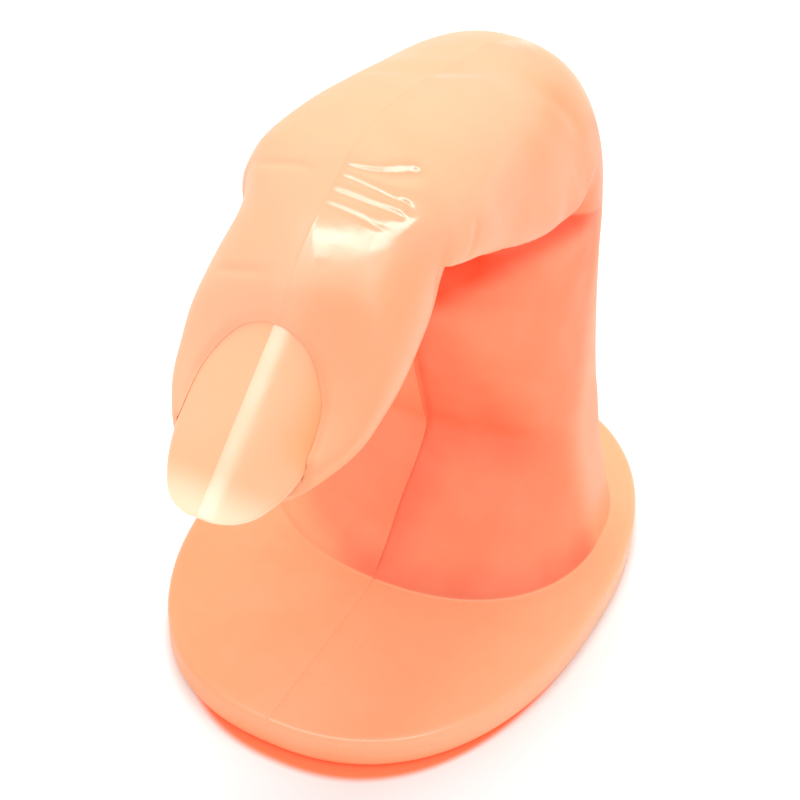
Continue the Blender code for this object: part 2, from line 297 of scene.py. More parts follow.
# Creases pressed into the skin: which half (-1 left, 1 right, 0 both), shares that fade in and out at the
# ends, and points along it: x, y, z, width and depth, in millimetres
CREASES = (
    (1, 0.12, 0.16,
     ((0.0, -9.16, 54.9, 0.30, 0.12), (1.39, -9.06, 54.9, 0.30, 0.115), (2.94, -8.74, 54.9, 0.48, 0.20),
      (4.30, -8.06, 54.9, 0.80, 0.40), (6.20, -6.50, 54.65, 0.86, 0.51))),
    (1, 0.12, 0.06,
     ((0.0, -9.94, 54.4, 0.22, 0.078), (1.41, -10.0, 54.3, 0.22, 0.068), (3.01, -10.02, 54.1, 0.22, 0.058),
      (4.56, -9.95, 53.8, 0.22, 0.048), (6.02, -9.72, 53.3, 0.24, 0.048))),
    (1, 0.12, 0.08,
     ((0.0, -11.28, 53.8, 0.36, 0.118), (1.69, -11.25, 53.7, 0.36, 0.100), (3.41, -11.16, 53.5, 0.36, 0.073),
      (4.99, -10.83, 53.2, 0.36, 0.056), (6.47, -10.31, 52.7, 0.36, 0.050))),
    (1, 0.12, 0.10,
     ((0.1, -12.27, 53.2, 0.22, 0.056), (1.62, -12.30, 53.1, 0.22, 0.046), (3.18, -12.26, 52.9, 0.22, 0.030),
      (4.69, -12.12, 52.4, 0.22, 0.020), (5.76, -11.82, 52.1, 0.22, 0.016))),
    (1, 0.15, 0.15,
     ((5.1, -9.70, 53.6, 0.24, 0.05), (5.8, -9.55, 53.35, 0.28, 0.08), (6.2, -9.75, 53.05, 0.28, 0.08),
      (6.05, -10.2, 52.9, 0.24, 0.05))),
    (1, 0.20, 0.30,
     ((10.1, -5.3, 51.2, 0.40, 0.12), (10.0, -5.8, 50.3, 0.40, 0.12), (9.9, -6.3, 49.2, 0.40, 0.12),
      (9.5, -7.0, 47.8, 0.40, 0.12))),
    (-1, 0.30, 0.30,
     ((-8.4, -8.6, 51.6, 0.42, 0.13), (-5.8, -9.7, 53.3, 0.42, 0.13), (-3.4, -9.9, 54.1, 0.42, 0.13),
      (-1.0, -10.1, 54.2, 0.42, 0.13))),
    (-1, 0.30, 0.40,
     ((-7.9, -16.5, 46.5, 0.45, 0.12), (-4.1, -17.4, 48.4, 0.45, 0.12), (-1.0, -17.2, 49.2, 0.45, 0.12))),
    (0, 0.15, 0.20,
     ((-7.5, 5.6, 52.6, 1.3, 0.20), (-2.0, 6.0, 54.7, 1.3, 0.20), (0.95, 8.9, 53.9, 1.3, 0.20),
      (3.6, 13.0, 52.4, 1.3, 0.20), (7.0, 14.4, 50.2, 1.3, 0.20), (9.1, 15.6, 47.6, 1.3, 0.20),
      (10.6, 16.4, 44.6, 1.3, 0.20))),
)


class FingerSizes(bpy.types.PropertyGroup):
    """Sizes of the practice finger."""
    height: bpy.props.FloatProperty(
        name="Height", description="Height that the section table is a share of",
        default=56.2 * MM, unit='LENGTH')
    base_width: bpy.props.FloatProperty(
        name="Foot Width", description="Width of the oval foot",
        default=40.0 * MM, unit='LENGTH')
    base_length: bpy.props.FloatProperty(
        name="Foot Length", description="Length of the oval foot from front to back",
        default=54.4 * MM, unit='LENGTH')
    base_thickness: bpy.props.FloatProperty(
        name="Foot Thickness", description="Thickness of the oval foot",
        default=3.4 * MM, unit='LENGTH')
    base_rounding: bpy.props.FloatProperty(
        name="Foot Rounding", description="Radius on the foot's upper and lower edge",
        default=0.7 * MM, unit='LENGTH')
    foot_fillet: bpy.props.FloatProperty(
        name="Foot Fillet", description="Radius where the column meets the foot",
        default=0.45 * MM, unit='LENGTH')
    seam_gap: bpy.props.FloatProperty(
        name="Seam Gap", description="Gap between the two half shells",
        default=0.004 * MM, unit='LENGTH')
    fit_gap: bpy.props.FloatProperty(
        name="Nail Fit Gap", description="Play between the nail and its seat",
        default=0.006 * MM, unit='LENGTH')
    nail_width: bpy.props.FloatProperty(
        name="Nail Width", description="Width of the nail tip",
        default=12.0 * MM, unit='LENGTH')
    nail_length: bpy.props.FloatProperty(
        name="Nail Length", description="Length of the nail tip with its hidden root",
        default=18.4 * MM, unit='LENGTH')
    nail_root: bpy.props.FloatProperty(
        name="Nail Root", description="Length of the nail tip under the cuticle",
        default=3.0 * MM, unit='LENGTH')
    nail_thickness: bpy.props.FloatProperty(
        name="Nail Thickness", description="Thickness of the nail tip",
        default=0.7 * MM, unit='LENGTH')
    nail_offset: bpy.props.FloatProperty(
        name="Nail Offset", description="How far the nail's crest sits to the right of the seam",
        default=-0.35 * MM, unit='LENGTH')
    nail_arch: bpy.props.FloatProperty(
        name="Nail Arch", description="How far the nail's sides fall below its crest",
        default=2.6 * MM, unit='LENGTH')
    nail_crest: bpy.props.FloatProperty(
        name="Nail Crest", description="Share of the arch that is a straight ridge and not a curve",
        default=0.35, subtype='FACTOR')
    nail_slope: bpy.props.FloatProperty(
        name="Nail Slope", description="Angle of the nail below level",
        default=math.radians(40.4), subtype='ANGLE')
    base_set_back: bpy.props.FloatProperty(
        name="Foot Set Back", description="How far the foot's middle lies behind the table's origin",
        default=2.6 * MM, unit='LENGTH')
    body_power: bpy.props.FloatProperty(
        name="Body Squareness", description="Power of the rounded outline of the finger's sections",
        default=2.25)
    base_power: bpy.props.FloatProperty(
        name="Foot Squareness", description="Power of the rounded outline of the foot",
        default=2.3)


class FingerColours(bpy.types.PropertyGroup):
    """Colours of the practice finger."""
    flesh: bpy.props.FloatVectorProperty(
        name="Flesh", description="Plastic of the two half shells",
        default=(1.0, 0.46, 0.26, 1.0), size=4, subtype='COLOR')
    nail: bpy.props.FloatVectorProperty(
        name="Nail", description="Milky plastic of the nail tip",
        default=(1.0, 0.475, 0.26, 1.0), size=4, subtype='COLOR')
    floor: bpy.props.FloatVectorProperty(
        name="Floor", description="Floor and backdrop",
        default=(0.94, 0.94, 0.94, 1.0), size=4, subtype='COLOR')


def smooth_table(rows, places):
    """Read a table at fractional places on a smooth curve through its rows."""
    places = np.asarray(places, float)
    last = len(rows) - 1
    here = np.clip(places.astype(int), 0, last - 1)
    t = (places - here)[:, None]
    before = rows[np.maximum(here - 1, 0)]
    first = rows[here]
    second = rows[here + 1]
    after = rows[np.minimum(here + 2, last)]
    bend = (2 * before - 5 * first + 4 * second - after) * t
    bend = bend + (3 * first - before - 3 * second + after) * t * t
    return first + ((second - before) + bend) * t / 2


def even_places(rows, count, weight):
    """Fractional places in a table so that their spacing along the back line follows the weight."""
    fine = np.linspace(0, len(rows) - 1, FINE_PLACES)
    line = smooth_table(rows, fine)[:, :2]
    steps = np.hypot(*np.diff(line, axis=0).T)
    run = np.concatenate(([0], np.cumsum(steps * weight(0.5 * (fine[1:] + fine[:-1])))))
    return np.interp(np.linspace(0, run[-1], count), run, fine)


def ring_angles(half_width, power, near):
    """Angles from the back to the palm side of a half section: fine next to the seam and on the flank."""
    side = np.arcsin(np.clip((near + EDGE_PLACES) / half_width, 0, 1) ** (power / 2))
    share = np.linspace(0, 1, RING_INNER + 2)[1:-1]
    share = share + FLANK_CROWDING * np.sin(2 * math.pi * share) / (2 * math.pi)
    middle = side[-1] + share * (math.pi - 2 * side[-1])
    return np.concatenate((side, middle, math.pi - side[::-1]))


def power_point(angles, power):
    """Sideways and upward shares of a rounded outline at angles from its top."""
    across = np.sin(angles) ** (2 / power)
    up = np.copysign(np.abs(np.cos(angles)) ** (2 / power), np.cos(angles))
    return across, up


def rise(value, low, high):
    """A smooth step from zero at low to one at high."""
    share = np.clip((value - low) / (high - low), 0, 1)
    return share * share * (3 - 2 * share)


def bell(value, width):
    """One in the middle, fading smoothly over the width."""
    return np.exp(-(value / width) ** 2)


def soft_minimum(first, second, blend):
    """The smaller of two values, with a soft change from one to the other."""
    share = np.clip(0.5 + 0.5 * (second - first) / blend, 0, 1)
    return second * (1 - share) + first * share - blend * share * (1 - share)


def close_over(first, second, near, angle):
    """A row of the rounded cap over the first row, at an angle from the row's own plane."""
    centre = (first[0] + first[-1]) / 2
    out = centre - (second[0] + second[-1]) / 2
    out[0] = 0
    out /= np.linalg.norm(out)
    row = centre + (first - centre) * math.cos(angle) + out * TIP_BULGE * math.sin(angle)
    row[:, 0] = near + (first[:, 0] - near) * math.cos(angle)
    return row


def outline_normals(row):
    """Level directions out of a half outline."""
    ahead = np.roll(row, -1, axis=0) - np.roll(row, 1, axis=0)
    ahead[0] = row[1] - row[0]
    ahead[-1] = row[-1] - row[-2]
    normal = np.stack((-ahead[:, 1], ahead[:, 0], np.zeros(len(row))), 1)
    normal[0] = (0, 1, 0)
    normal[-1] = (0, -1, 0)
    return normal / np.linalg.norm(normal, axis=1)[:, None]


def body_rows(sizes, near):
    """Rows of points over one half of the finger and column, from the fingertip to the foot's fillet."""
    def weight(place):
        """How closely the rows lie at a place in the table."""
        return 1 + ROW_CROWDING * bell(place - CROWDED_SECTION, CROWDED_SPAN)

    table = smooth_table(BODY_SHARES, even_places(BODY_SHARES, BODY_ROWS, weight))
    spreads = table[:, 5]
    table = table * sizes.height
    rings = []
    for (back_y, back_z, palm_y, palm_z, half, _), spread in zip(table, spreads):
        angles = ring_angles(half, sizes.body_power, near)
        across, up = power_point(angles, sizes.body_power)
        back = np.array((0, back_y + TABLE_SHIFT, back_z))
        palm = np.array((0, palm_y + TABLE_SHIFT, palm_z))
        middle = back + (palm - back) * spread
        ring = middle + np.where(up[:, None] > 0, back - middle, middle - palm) * up[:, None]
        ring[:, 0] = across * half
        ring[0, 0] = ring[-1, 0] = near
        if ring[-1, 2] < sizes.base_thickness + sizes.foot_fillet:
            break
        rings.append(ring)
    tip = [close_over(rings[0], rings[1], near, a) for a in np.linspace(math.pi / 2, 0, TIP_ROWS + 1)[:-1]]
    return tip + rings


def foot_rows(sizes, near, foot):
    """Rows from the column's last row over the fillet, the foot's top, its rim and its underside."""
    thick = sizes.base_thickness
    rounding = sizes.base_rounding
    middle_y = sizes.base_set_back + TABLE_SHIFT
    outward = outline_normals(foot)
    foot = foot + outward * (foot[:, 2:] - thick - sizes.foot_fillet / 2) * math.tan(FILLET_LEAN)
    rows = []
    for angle in np.linspace(FILLET_LEAN, math.pi / 2, FILLET_ROWS):
        row = foot + outward * sizes.foot_fillet * (math.cos(FILLET_LEAN) - math.cos(angle))
        row[:, 2] = thick + sizes.foot_fillet * (1 - math.sin(angle))
        row[0, 0] = row[-1, 0] = near
        rows.append(row)

    def outline(inset, level):
        """The foot's half outline at a level, moved in by an inset."""
        half = sizes.base_width / 2 - inset
        angles = ring_angles(half, sizes.base_power, near)
        across, up = power_point(angles, sizes.base_power)
        deep = sizes.base_length / 2 - inset
        row = np.stack((across * half, middle_y + up * deep, np.full_like(up, level)), 1)
        row[0, 0] = row[-1, 0] = near
        return row

    inner = rows[-1]
    outer = outline(rounding, thick)
    for share in np.linspace(0, 1, TOP_ROWS + 1)[1:]:
        rows.append(inner + (outer - inner) * share)
    for angle in np.linspace(0, math.pi / 2, RIM_ROWS)[1:]:
        rows.append(outline(rounding * (1 - math.sin(angle)), thick - rounding * (1 - math.cos(angle))))
    for share in np.linspace(0, 1, RIM_SIDE_ROWS + 2)[1:-1]:
        rows.append(outline(0, thick - rounding - share * (thick - 2 * rounding)))
    for angle in np.linspace(math.pi / 2, 0, RIM_ROWS):
        rows.append(outline(rounding * (1 - math.sin(angle)), rounding * (1 - math.cos(angle))))
    last = rows[-1]
    centre = np.array((near, middle_y, 0))
    for share in np.linspace(0, 1, UNDER_ROWS + 1)[1:]:
        rows.append(last + (centre - last) * share)
    return rows


def grid_normals(rings):
    """Directions out of the skin at each point of its rows."""
    down = np.gradient(rings, axis=0)
    around = np.gradient(rings, axis=1)
    normal = np.cross(around, down)
    length = np.linalg.norm(normal, axis=2, keepdims=True)
    return normal / np.maximum(length, TINY_AREA)


def beside(x, z, start, end):
    """Distance of points to the side of a line through two points of the front view."""
    run = np.array((end[0] - start[0], end[1] - start[1]))
    run = run / np.linalg.norm(run)
    return (x - start[0]) * run[1] - (z - start[1]) * run[0]


def mould_forms(rings, side):
    """Soft forms that the sections don't have: the step between the halves on the column's front, the hollow
    in the right half of it, and the thin flash along the seam."""
    normal = grid_normals(rings)
    x = rings[..., 0] * side
    y = rings[..., 1]
    z = rings[..., 2]
    front = rise(-normal[..., 1], *FRONT_FACING) * rise(z, *FRONT_LOW) * rise(z, *FRONT_TOP)
    front = front * rise(y, *FRONT_DEPTH)
    lift = -side * bell(x, STEP_WIDTH) * front * STEP_HEIGHT
    if side > 0:
        # The hollow's upper edge runs from near the seam down to the right, and its lower edge is level
        inside = rise(beside(x, z, HOLLOW_TOP, HOLLOW_RIGHT), *HOLLOW_EDGE)
        inside = inside * rise(-beside(x, z, HOLLOW_LOW, HOLLOW_RIGHT), *HOLLOW_FLOOR) * front
        lift = lift - inside * HOLLOW_DEPTH
    flash = FLASH_HEIGHT + (FOOT_FLASH_HEIGHT - FLASH_HEIGHT) * rise(z, *FLASH_CHANGE)
    lift = lift + flash * bell(x, FLASH_WIDTH) * rise(z, *FLASH_START)
    moved = rings + normal * lift[..., None]
    moved[:, 0, 0] = rings[:, 0, 0]
    moved[:, -1, 0] = rings[:, -1, 0]
    return moved


def overhang(rings):
    """Raise the finger's flank to an edge over the column and cut the skin back under it."""
    line = smooth_table(LIP, np.linspace(0, len(LIP) - 1, LIP_PLACES))
    places = line[:, :3] * MM
    along = np.gradient(places, axis=0)
    upward = np.stack((np.zeros(len(along)), -along[:, 2], along[:, 1]), 1)
    upward /= np.linalg.norm(upward, axis=1)[:, None]
    flat = rings.reshape(-1, 3)
    near = (flat > LIP_CORNER).all(1)
    chosen = flat[near]
    away = chosen[:, None, 1:] - places[None, :, 1:]
    nearest = (away ** 2).sum(-1).argmin(1)
    height = ((chosen - places[nearest]) * upward[nearest]).sum(1)
    ends = np.clip(nearest / LIP_FADE_PLACES[0], 0, 1)
    ends = ends * np.clip((len(line) - 1 - nearest) / LIP_FADE_PLACES[1], 0, 1)
    ends = rise(ends, 0, 1) * rise(chosen[:, 0], *LIP_ACROSS)
    over = line[nearest, 3] * MM * bell(height, LIP_WIDTH)
    under = -UNDERCUT * bell(height + UNDERCUT_DROP, UNDERCUT_WIDTH)
    blend = rise(height, *LIP_BLEND)
    lift = np.zeros(len(flat))
    lift[near] = (over * blend + under * (1 - blend)) * ends
    return rings + grid_normals(rings) * lift.reshape(rings.shape[:2])[..., None]


def nail_folds(rings, sizes, side):
    """Round the skin down to the nail along its window, and under the nail in front of it."""
    cuticle, along, outward = (np.array(v) for v in nail_frame(sizes))
    offset = rings - cuticle
    x = np.abs(rings[..., 0] * side - sizes.nail_offset)
    distance = offset @ along
    height = offset @ outward + nail_fall(x, sizes)
    table = smooth_table(WINDOW_SHARES, np.linspace(0, len(WINDOW_SHARES) - 1, OUTLINE_PLACES))
    outline = np.stack((table[:, 1] * sizes.nail_width / 2, table[:, 0] * sizes.nail_length), 1)
    outline = np.vstack(((0, outline[0, 1]), outline))
    flat = np.stack((x, distance), -1).reshape(-1, 2)
    close = (np.abs(flat[:, 1] - FOLD_MIDDLE) < FOLD_SPAN) & (height.reshape(-1) > FOLD_DEEPEST)
    gap = np.full(len(flat), FAR_OFF)
    chosen = flat[close]
    start, end = outline[:-1], outline[1:]
    run = end - start
    ahead = ((chosen[:, None] - start) * run).sum(-1)
    share = np.clip(ahead / np.maximum((run * run).sum(-1), TINY_SQUARE), 0, 1)
    apart = np.linalg.norm(chosen[:, None] - (start + share[..., None] * run), axis=-1).min(1)
    reach = np.interp(chosen[:, 1], outline[:, 1], outline[:, 0])
    inside = (chosen[:, 0] < reach) & (chosen[:, 1] > outline[0, 1])
    gap[close] = np.where(inside, 0, apart)
    gap = gap.reshape(height.shape)
    dip = rise(distance, *DIP_RUN)
    rounding = np.clip(gap / (FOLD_REACH + DIP_REACH * dip), 0, 1)
    rounding = rounding * (2 - rounding)
    shallow = soft_minimum(height, FOLD_HEIGHT + FOLD_RISE * gap, FOLD_BLEND)
    edge = FOLD_LIP * (1 - dip) - (sizes.nail_thickness + DIP_PLAY) * dip
    target = edge + (shallow - edge) * rounding
    lowered = np.minimum(height, target) - height
    return rings + outward * lowered[..., None]


def skin_object(name, rings, side):
    """An open mesh over the rows."""
    count, around, _ = rings.shape
    points = rings.reshape(-1, 3).copy()
    points[:, 0] *= side
    faces = []
    for i in range(count - 1):
        for j in range(around - 1):
            a = i * around + j
            face = (a, a + 1, a + 1 + around, a + around)
            faces.append(face if side > 0 else face[::-1])
    mesh = bpy.data.meshes.new(name)
    mesh.from_pydata(points.tolist(), [], faces)
    mesh.update()
    made = bpy.data.objects.new(name, mesh)
    bpy.context.scene.collection.objects.link(made)
    return made


def close_seam(piece, rings, near, side):
    """Close an open half with a flat face over the seam."""
    count, around, _ = rings.shape
    work = bmesh.new()
    work.from_mesh(piece.data)
    work.verts.ensure_lookup_table()
    back = [work.verts[i * around] for i in range(count)]
    palm = [work.verts[i * around + around - 1] for i in range(count)]
    for corner in back + palm:
        corner.co.x = near * side
    work.faces.new(back + palm[::-1])
    bmesh.ops.remove_doubles(work, verts=work.verts, dist=MERGED)
    bmesh.ops.dissolve_degenerate(work, dist=SLIVER, edges=work.edges)
    bmesh.ops.recalc_face_normals(work, faces=work.faces)
    work.to_mesh(piece.data)
    work.free()


def plain_mesh(piece):
    """Turn an object's evaluated shape into its own plain mesh."""
    seen = piece.evaluated_get(bpy.context.evaluated_depsgraph_get())
    mesh = bpy.data.meshes.new_from_object(seen)
    mesh.name = piece.name
    piece.modifiers.clear()
    piece.data = mesh
    return piece


def combine(body, tool, operation):
    """Join or cut two closed bodies, and remove the second one."""
    step = body.modifiers.new("combine", 'BOOLEAN')
    step.operation = operation
    step.solver = 'EXACT'
    step.object = tool
    plain_mesh(body)
    bpy.data.objects.remove(tool, do_unlink=True)
    return body


def node(tree, kind, *inputs, **settings):
    """Add a node, set its properties, fill its inputs in order with values or other nodes' outputs, and give
    its first output."""
    made = tree.nodes.new(kind)
    for name, value in settings.items():
        setattr(made, name, value)
    for socket, value in zip([s for s in made.inputs if s.enabled], inputs):
        if isinstance(value, bpy.types.NodeSocket):
            tree.links.new(value, socket)
        elif value is not None:
            socket.default_value = value
    return next(s for s in made.outputs if s.enabled)


def math_node(tree, operation, *inputs):
    """Add a math node."""
    return node(tree, "ShaderNodeMath", *inputs, operation=operation)


def times(tree, first, *others):
    """The product of several values."""
    for other in others:
        first = math_node(tree, 'MULTIPLY', first, other)
    return first


def new_tree(name, inputs):
    """A Geometry Nodes tree with named inputs and one geometry output."""
    tree = bpy.data.node_groups.new(name, 'GeometryNodeTree')
    for label, kind in inputs:
        tree.interface.new_socket(name=label, in_out='INPUT', socket_type=kind)
    tree.interface.new_socket(name="Geometry", in_out='OUTPUT', socket_type='NodeSocketGeometry')
    return tree, tree.nodes.new("NodeGroupInput").outputs


def finish_tree(tree, geometry, finish):
    """End a tree in real, painted geometry."""
    real = node(tree, "GeometryNodeRealizeInstances", geometry)
    painted = node(tree, "GeometryNodeSetMaterial", real, None, finish)
    tree.links.new(painted, tree.nodes.new("NodeGroupOutput").inputs[0])
    return tree


def run_tree(piece, tree, values):
    """Run a tree on an object with its inputs set by name, and keep the result as a plain mesh."""
    step = piece.modifiers.new(tree.name, 'NODES')
    step.node_group = tree
    names = {item.name: item.identifier for item in tree.interface.items_tree if item.in_out == 'INPUT'}
    for name, value in values.items():
        step[names[name]] = value
    return plain_mesh(piece)


def crease_tree():
    """Geometry Nodes that press creases into a skin along guide points, which carry their own width and
    depth."""
    tree, given = new_tree("press_creases", (
        ("Skin", 'NodeSocketGeometry'), ("Guides", 'NodeSocketObject'),
        ("Strength", 'NodeSocketFloat'), ("Finish", 'NodeSocketMaterial')))
    info = tree.nodes.new("GeometryNodeObjectInfo")
    info.transform_space = 'RELATIVE'
    tree.links.new(given["Guides"], info.inputs["Object"])
    guides = info.outputs["Geometry"]
    nearest = node(tree, "GeometryNodeSampleNearest", guides)

    def sample(kind, value):
        """A value at the nearest guide point."""
        return node(tree, "GeometryNodeSampleIndex", guides, value, nearest, data_type=kind)

    def named(name):
        """A value that the guide points carry."""
        return node(tree, "GeometryNodeInputNamedAttribute", name, data_type='FLOAT')

    place = node(tree, "GeometryNodeInputPosition")
    away = node(tree, "ShaderNodeVectorMath", place, sample('FLOAT_VECTOR', place), operation='DISTANCE')
    share = math_node(tree, 'DIVIDE', away, sample('FLOAT', named("width")))
    fade = math_node(tree, 'EXPONENT', times(tree, share, share, -1.0))
    lift = times(tree, sample('FLOAT', named("depth")), fade, given["Strength"], -1.0)
    outward = node(tree, "GeometryNodeInputNormal")
    shift = node(tree, "ShaderNodeVectorMath", outward, lift, operation='SCALE')
    moved = node(tree, "GeometryNodeSetPosition", given["Skin"], None, None, shift)
    return finish_tree(tree, moved, given["Finish"])


def guide_object(skin, side):
    """Points along every crease of one half, laid on its skin."""
    surface = BVHTree.FromObject(skin, bpy.context.evaluated_depsgraph_get())
    places, widths, depths = [], [], []
    for crease_side, fade_in, fade_out, line in CREASES:
        if crease_side * side < 0:
            continue
        fine = smooth_table(np.array(line) * MM, np.linspace(0, len(line) - 1, CREASE_PLACES))
        run = np.concatenate(([0], np.cumsum(np.linalg.norm(np.diff(fine[:, :3], axis=0), axis=1))))
        count = max(int(run[-1] / GUIDE_STEP), GUIDE_LEAST)
        for along in np.linspace(0, 1, count):
            x, y, z, width, depth = (np.interp(along * run[-1], run, column) for column in fine.T)
            if x * side < -GUIDE_OVERRUN:
                continue
            spot = surface.find_nearest(Vector((abs(x) * side, y, z)))[0]
            spot.x = math.copysign(spot.x, x)
            places.append(spot)
            widths.append(width)
            depths.append(depth * rise(along, 0, fade_in) * rise(1 - along, 0, fade_out))
    mesh = bpy.data.meshes.new("crease_guides")
    mesh.from_pydata(places, [], [])
    for name, values in (("width", widths), ("depth", depths)):
        mesh.attributes.new(name, 'FLOAT', 'POINT').data.foreach_set("value", values)
    made = bpy.data.objects.new("crease_guides", mesh)
    bpy.context.scene.collection.objects.link(made)
    return made


def nail_frame(sizes):
    """The cuticle's middle point, the way along the nail to its free edge, and the way out of it."""
    y, z = (share * sizes.height for share in CUTICLE_SHARES)
    slope = sizes.nail_slope
    along = Vector((0, -math.cos(slope), -math.sin(slope)))
    outward = Vector((0, -math.sin(slope), math.cos(slope)))
    return Vector((sizes.nail_offset, y + TABLE_SHIFT, z)), along, outward


def nail_fall(x, sizes):
    """How far the nail's top falls below its crest at a distance from the middle."""
    share = np.abs(x) / (sizes.nail_width / 2)
    return sizes.nail_arch * (share * share * (1 - sizes.nail_crest) + share * sizes.nail_crest)


def arched_tool(name, rows, low, high, level_top, sizes):
    """A closed cutting body along the nail: rows of distance and half width, between two heights."""
    cuticle, along, outward = nail_frame(sizes)
    work = bmesh.new()
    loops = []
    for distance, half in rows:
        here = cuticle + along * distance
        places = np.linspace(-half, half, SEAT_ACROSS + 1)
        falls = nail_fall(places, sizes)
        loop = []
        for x, fall in zip(places, falls):
            loop.append(here + outward * (high if level_top else high - fall) + Vector((x, 0, 0)))
        for x, fall in zip(places[::-1], falls[::-1]):
            loop.append(here + outward * (low - fall) + Vector((x, 0, 0)))
        loops.append([work.verts.new(point) for point in loop])
    for first, second in zip(loops, loops[1:]):
        for j in range(len(first)):
            k = (j + 1) % len(first)
            work.faces.new((first[j], first[k], second[k], second[j]))
    work.faces.new(loops[0])
    work.faces.new(loops[-1])
    bmesh.ops.recalc_face_normals(work, faces=work.faces)
    mesh = bpy.data.meshes.new(name)
    work.to_mesh(mesh)
    work.free()
    made = bpy.data.objects.new(name, mesh)
    bpy.context.scene.collection.objects.link(made)
    return made


def nail_seat(sizes):
    """The space that the nail slides in, with the window over it."""
    gap = sizes.fit_gap
    table = np.array(NAIL_SHARES)
    rows = []
    for along, across in smooth_table(table, np.linspace(0, len(table) - 1, SEAT_ROWS)):
        distance = along * (sizes.nail_length + 2 * gap) - sizes.nail_root - gap
        if distance < SEAT_TAPER:
            rows.append((distance, across * sizes.nail_width / 2 + gap))
    rows.append((sizes.nail_length + SEAT_OVERRUN, rows[-1][1]))
    seat = arched_tool("seat", rows, -sizes.nail_thickness - gap, gap, False, sizes)
    outline = smooth_table(WINDOW_SHARES, np.linspace(0, len(WINDOW_SHARES) - 1, WINDOW_ROWS))
    rows = [
        (along * sizes.nail_length, min(across, WINDOW_LIMIT) * sizes.nail_width / 2)
        for along, across in outline
    ]
    window = arched_tool("window", rows, -sizes.nail_thickness / 2, SEAT_OVERRUN, True, sizes)
    return combine(seat, window, 'UNION')


def map_range(tree, value, low, high, to_low=0.0, to_high=1.0):
    """A smooth step of a value between two limits."""
    return node(tree, "ShaderNodeMapRange", value, low, high, to_low, to_high,
                interpolation_type='SMOOTHSTEP')


def mix_colour(tree, share, first, second):
    """A blend of two colours by a share."""
    return node(tree, "ShaderNodeMix", share, first, second, data_type='RGBA')


def noise(tree, place, scale, detail):
    """Soft noise over the object's coordinates."""
    return node(tree, "ShaderNodeTexNoise", place, scale, detail)


def object_place(tree):
    """The object coordinates, whole and in parts."""
    place = tree.nodes.new("ShaderNodeTexCoord").outputs["Object"]
    x, y, z = node(tree, "ShaderNodeSeparateXYZ", place).node.outputs
    return place, x, y, z


def specks(tree, place):
    """Where the rare small specks in the plastic are."""
    cells = tree.nodes.new("ShaderNodeTexVoronoi")
    cells.inputs["Scale"].default_value = SPECK_SCALE
    tree.links.new(place, cells.inputs["Vector"])
    rare = map_range(tree, node(tree, "ShaderNodeSeparateColor", cells.outputs["Color"]), *SPECK_RARITY)
    small = map_range(tree, cells.outputs["Distance"], *SPECK_SIZE, 1.0, 0.0)
    return times(tree, rare, small, SPECK_SHARE)


def sheen(tree, place, x, z, sheens):
    """The roughness by place: the four sheens, the duller part of the top, and patches everywhere."""
    foot, column, flank, top = sheens
    knuckle = math_node(tree, 'MULTIPLY_ADD', x, -GLOSS_LEAN, z)
    from_front = math_node(tree, 'MULTIPLY_ADD', z, GLOSS_START_LEAN, math_node(tree, 'ABSOLUTE', x))
    glossy = times(tree, map_range(tree, knuckle, *GLOSS_LEVELS), map_range(tree, from_front, *GLOSS_START))
    dull = times(tree, glossy, map_range(tree, z, *DULL_UP), map_range(tree, x, *DULL_ACROSS))
    gloss = math_node(tree, 'MULTIPLY_ADD', glossy, top - flank, flank)
    gloss = math_node(tree, 'MULTIPLY_ADD', dull, DULL_PART, gloss)
    gloss = math_node(tree, 'ADD', gloss, map_range(tree, z, *COLUMN_SHEEN, 0.0, column - flank))
    gloss = math_node(tree, 'ADD', gloss, map_range(tree, z, *FOOT_SHEEN, 0.0, foot - column))
    patches = map_range(tree, noise(tree, place, *PATCH_NOISE), *PATCH_RANGE, *PATCH_SHEEN)
    return times(tree, gloss, patches)


def moulded(name, colour, colour_and_shade, sheens):
    """A moulded plastic with faint clouds in its colour and gloss, rare specks and a very fine grain. Its
    colour by place, painted shade included, comes from a function of the tree, the object's coordinates and
    the main colour, and its sheens are the roughness on the foot, on the column, on the flanks and on the
    top of the finger."""
    made = bpy.data.materials.new(name)
    made.use_nodes = True
    tree = made.node_tree
    shader = tree.nodes["Principled BSDF"]
    shader.inputs["IOR"].default_value = PLASTIC_IOR
    place, x, y, z = object_place(tree)
    paint = colour_and_shade(tree, x, y, z, colour)
    clouds = map_range(tree, noise(tree, place, *CLOUD_NOISE), *CLOUD_RANGE)
    green, blue = (min(part * more, 1.0) for part, more in zip(colour[1:3], CLOUD_PALENESS))
    paint = mix_colour(tree, times(tree, clouds, CLOUD_SHARE), paint, (1.0, green, blue, 1.0))
    paint = mix_colour(tree, specks(tree, place), paint, SPECK_COLOUR)
    tree.links.new(paint, shader.inputs["Base Color"])
    tree.links.new(sheen(tree, place, x, z, sheens), shader.inputs["Roughness"])
    bump = tree.nodes.new("ShaderNodeBump")
    bump.inputs["Strength"].default_value = GRAIN_STRENGTH
    bump.inputs["Distance"].default_value = GRAIN_DEPTH
    tree.links.new(noise(tree, place, *GRAIN_NOISE), bump.inputs["Height"])
    tree.links.new(bump.outputs["Normal"], shader.inputs["Normal"])
    return made


def deeper(colour, green, blue):
    """A colour with less green and blue in it."""
    return (1.0, colour[1] * green, colour[2] * blue, 1.0)


def region(tree, place, limits):
    """The product of smooth steps across, back and up, where limits are given."""
    return times(tree, *(map_range(tree, part, *limit) for part, limit in zip(place, limits) if limit))


def leaning(tree, other, share, value):
    """One value plus a share of another."""
    return math_node(tree, 'MULTIPLY_ADD', other, share, value)


